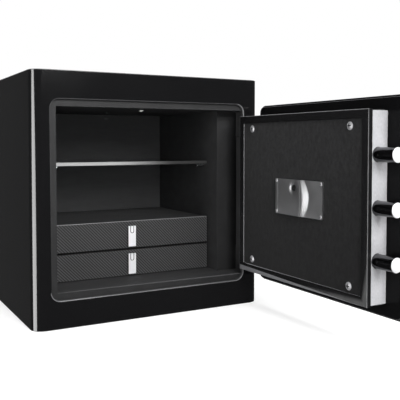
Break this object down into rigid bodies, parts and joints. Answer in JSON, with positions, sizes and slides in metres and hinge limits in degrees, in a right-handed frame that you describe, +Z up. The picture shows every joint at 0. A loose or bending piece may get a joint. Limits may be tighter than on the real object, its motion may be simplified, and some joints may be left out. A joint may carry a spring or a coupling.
{
  "type": "fire safe",
  "caption": "Square fire safe with an open door, a glass shelf and drawers inside, round locking bolts and a keypad with knob on the door.",
  "frame": {"origin": "middle of the body's underside, on the surface it stands on", "axes": "+Z up, -Y towards the front of the safe, +X to the right seen from the front"},
  "size_m": [0.4314, 0.7055, 0.4],
  "materials": {
    "black_paint": "gloss black lacquer",
    "frame_paint": "satin black lacquer",
    "liner_paint": "matt dark grey",
    "fill": "cast mineral fill",
    "steel": "plain steel",
    "polished": "polished",
    "brass": "plain",
    "glass": "polished edges",
    "felt": "short pile",
    "carbon": "woven carbon look",
    "black_plastic": "fine texture",
    "board_green": "circuit board",
    "red_plastic": "smooth",
    "clear_plastic": "frosted",
    "rubber": "matt",
    "battery_case": "wrapped cell",
    "key_metal": "brushed"
  },
  "bodies": {
    "safe_body": {"outer_shell": "black_paint", "back_panel": "black_paint", "front_frame": "frame_paint", "insulation_fill": "fill", "cavity_liner": "liner_paint", "bolt_sockets": "steel", "hinge_brackets": "steel", "hinge_pin": "steel", "anchor_tubes": "steel", "lamp_base": "steel", "lamp_lens": "clear_plastic", "shelf_pegs": "polished", "glass_shelf": "glass", "drawer_case": "liner_paint"},
    "upper_drawer": {"upper_drawer_tray": "liner_paint", "upper_drawer_front": "carbon", "upper_drawer_pull": "polished", "upper_drawer_felt": "felt"},
    "lower_drawer": {"lower_drawer_tray": "liner_paint", "lower_drawer_front": "carbon", "lower_drawer_pull": "polished", "lower_drawer_felt": "felt"},
    "door": {"door_skin": "black_paint", "door_plate": "frame_paint", "door_pan": "frame_paint", "door_insulation": "fill", "door_seals": "rubber", "door_cover": "frame_paint", "cover_felt": "felt", "cover_screws": "polished", "lock_edge_plate": "polished", "bolt_bushes": "brass", "hinge_arm": "frame_paint", "hinge_screws": "steel", "service_plate": "polished", "plate_screws": "polished", "battery_box": "black_plastic", "batteries": "battery_case", "control_board": "board_green", "lock_solenoid": "steel", "keypad_housing": "black_plastic", "status_window": "red_plastic"},
    "bolt_work": {"bolt_carriage": "steel", "bolts": "polished"},
    "knob_and_shaft": {"knob": "polished", "pinion_shaft": "steel"},
    "plunger": {"solenoid_plunger": "steel"},
    "reset": {"reset_button": "red_plastic"},
    "key_1_cap": {"key_1": "key_metal"},
    "key_2_cap": {"key_2": "key_metal"},
    "key_3_cap": {"key_3": "key_metal"},
    "key_4_cap": {"key_4": "key_metal"},
    "key_5_cap": {"key_5": "key_metal"},
    "key_6_cap": {"key_6": "key_metal"},
    "key_7_cap": {"key_7": "key_metal"},
    "key_8_cap": {"key_8": "key_metal"},
    "key_9_cap": {"key_9": "key_metal"},
    "key_star_cap": {"key_star": "key_metal"},
    "key_0_cap": {"key_0": "key_metal"},
    "key_hash_cap": {"key_hash": "key_metal"}
  },
  "joints": [
    {"name": "door_hinge", "type": "hinge", "parent": "safe_body", "child": "door", "pos_m": [0.192, -0.1625, 0.2], "axis": [0, 0, 1], "range_deg": [-90, 15]},
    {"name": "upper_drawer_slide", "type": "slide", "parent": "safe_body", "child": "upper_drawer", "axis": [0, -1, 0], "range_m": [0, 0.15]},
    {"name": "lower_drawer_slide", "type": "slide", "parent": "safe_body", "child": "lower_drawer", "axis": [0, -1, 0], "range_m": [0, 0.15]},
    {"name": "bolt_slide", "type": "slide", "parent": "door", "child": "bolt_work", "axis": [0, -1, 0], "range_m": [-0.018, 0]},
    {"name": "knob_turn", "type": "hinge", "parent": "door", "child": "knob_and_shaft", "pos_m": [0.202, -0.35725, 0.125], "axis": [1, 0, 0], "range_deg": [-90, 0]},
    {"name": "plunger_slide", "type": "slide", "parent": "door", "child": "plunger", "axis": [0, 0, -1], "range_m": [0, 0.006], "stiffness_N_per_m": 60, "springref_m": -0.003},
    {"name": "reset_press", "type": "slide", "parent": "door", "child": "reset", "axis": [1, 0, 0], "range_m": [0, 0.0015], "stiffness_N_per_m": 400},
    {"name": "key_1_press", "type": "slide", "parent": "door", "child": "key_1_cap", "axis": [-1, 0, 0], "range_m": [0, 0.0012], "stiffness_N_per_m": 400},
    {"name": "key_2_press", "type": "slide", "parent": "door", "child": "key_2_cap", "axis": [-1, 0, 0], "range_m": [0, 0.0012], "stiffness_N_per_m": 400},
    {"name": "key_3_press", "type": "slide", "parent": "door", "child": "key_3_cap", "axis": [-1, 0, 0], "range_m": [0, 0.0012], "stiffness_N_per_m": 400},
    {"name": "key_4_press", "type": "slide", "parent": "door", "child": "key_4_cap", "axis": [-1, 0, 0], "range_m": [0, 0.0012], "stiffness_N_per_m": 400},
    {"name": "key_5_press", "type": "slide", "parent": "door", "child": "key_5_cap", "axis": [-1, 0, 0], "range_m": [0, 0.0012], "stiffness_N_per_m": 400},
    {"name": "key_6_press", "type": "slide", "parent": "door", "child": "key_6_cap", "axis": [-1, 0, 0], "range_m": [0, 0.0012], "stiffness_N_per_m": 400},
    {"name": "key_7_press", "type": "slide", "parent": "door", "child": "key_7_cap", "axis": [-1, 0, 0], "range_m": [0, 0.0012], "stiffness_N_per_m": 400},
    {"name": "key_8_press", "type": "slide", "parent": "door", "child": "key_8_cap", "axis": [-1, 0, 0], "range_m": [0, 0.0012], "stiffness_N_per_m": 400},
    {"name": "key_9_press", "type": "slide", "parent": "door", "child": "key_9_cap", "axis": [-1, 0, 0], "range_m": [0, 0.0012], "stiffness_N_per_m": 400},
    {"name": "key_star_press", "type": "slide", "parent": "door", "child": "key_star_cap", "axis": [-1, 0, 0], "range_m": [0, 0.0012], "stiffness_N_per_m": 400},
    {"name": "key_0_press", "type": "slide", "parent": "door", "child": "key_0_cap", "axis": [-1, 0, 0], "range_m": [0, 0.0012], "stiffness_N_per_m": 400},
    {"name": "key_hash_press", "type": "slide", "parent": "door", "child": "key_hash_cap", "axis": [-1, 0, 0], "range_m": [0, 0.0012], "stiffness_N_per_m": 400}
  ],
  "couplings": [
    {"joint": "knob_turn", "follows": "bolt_slide", "rad_per_m": 87.266}
  ]
}
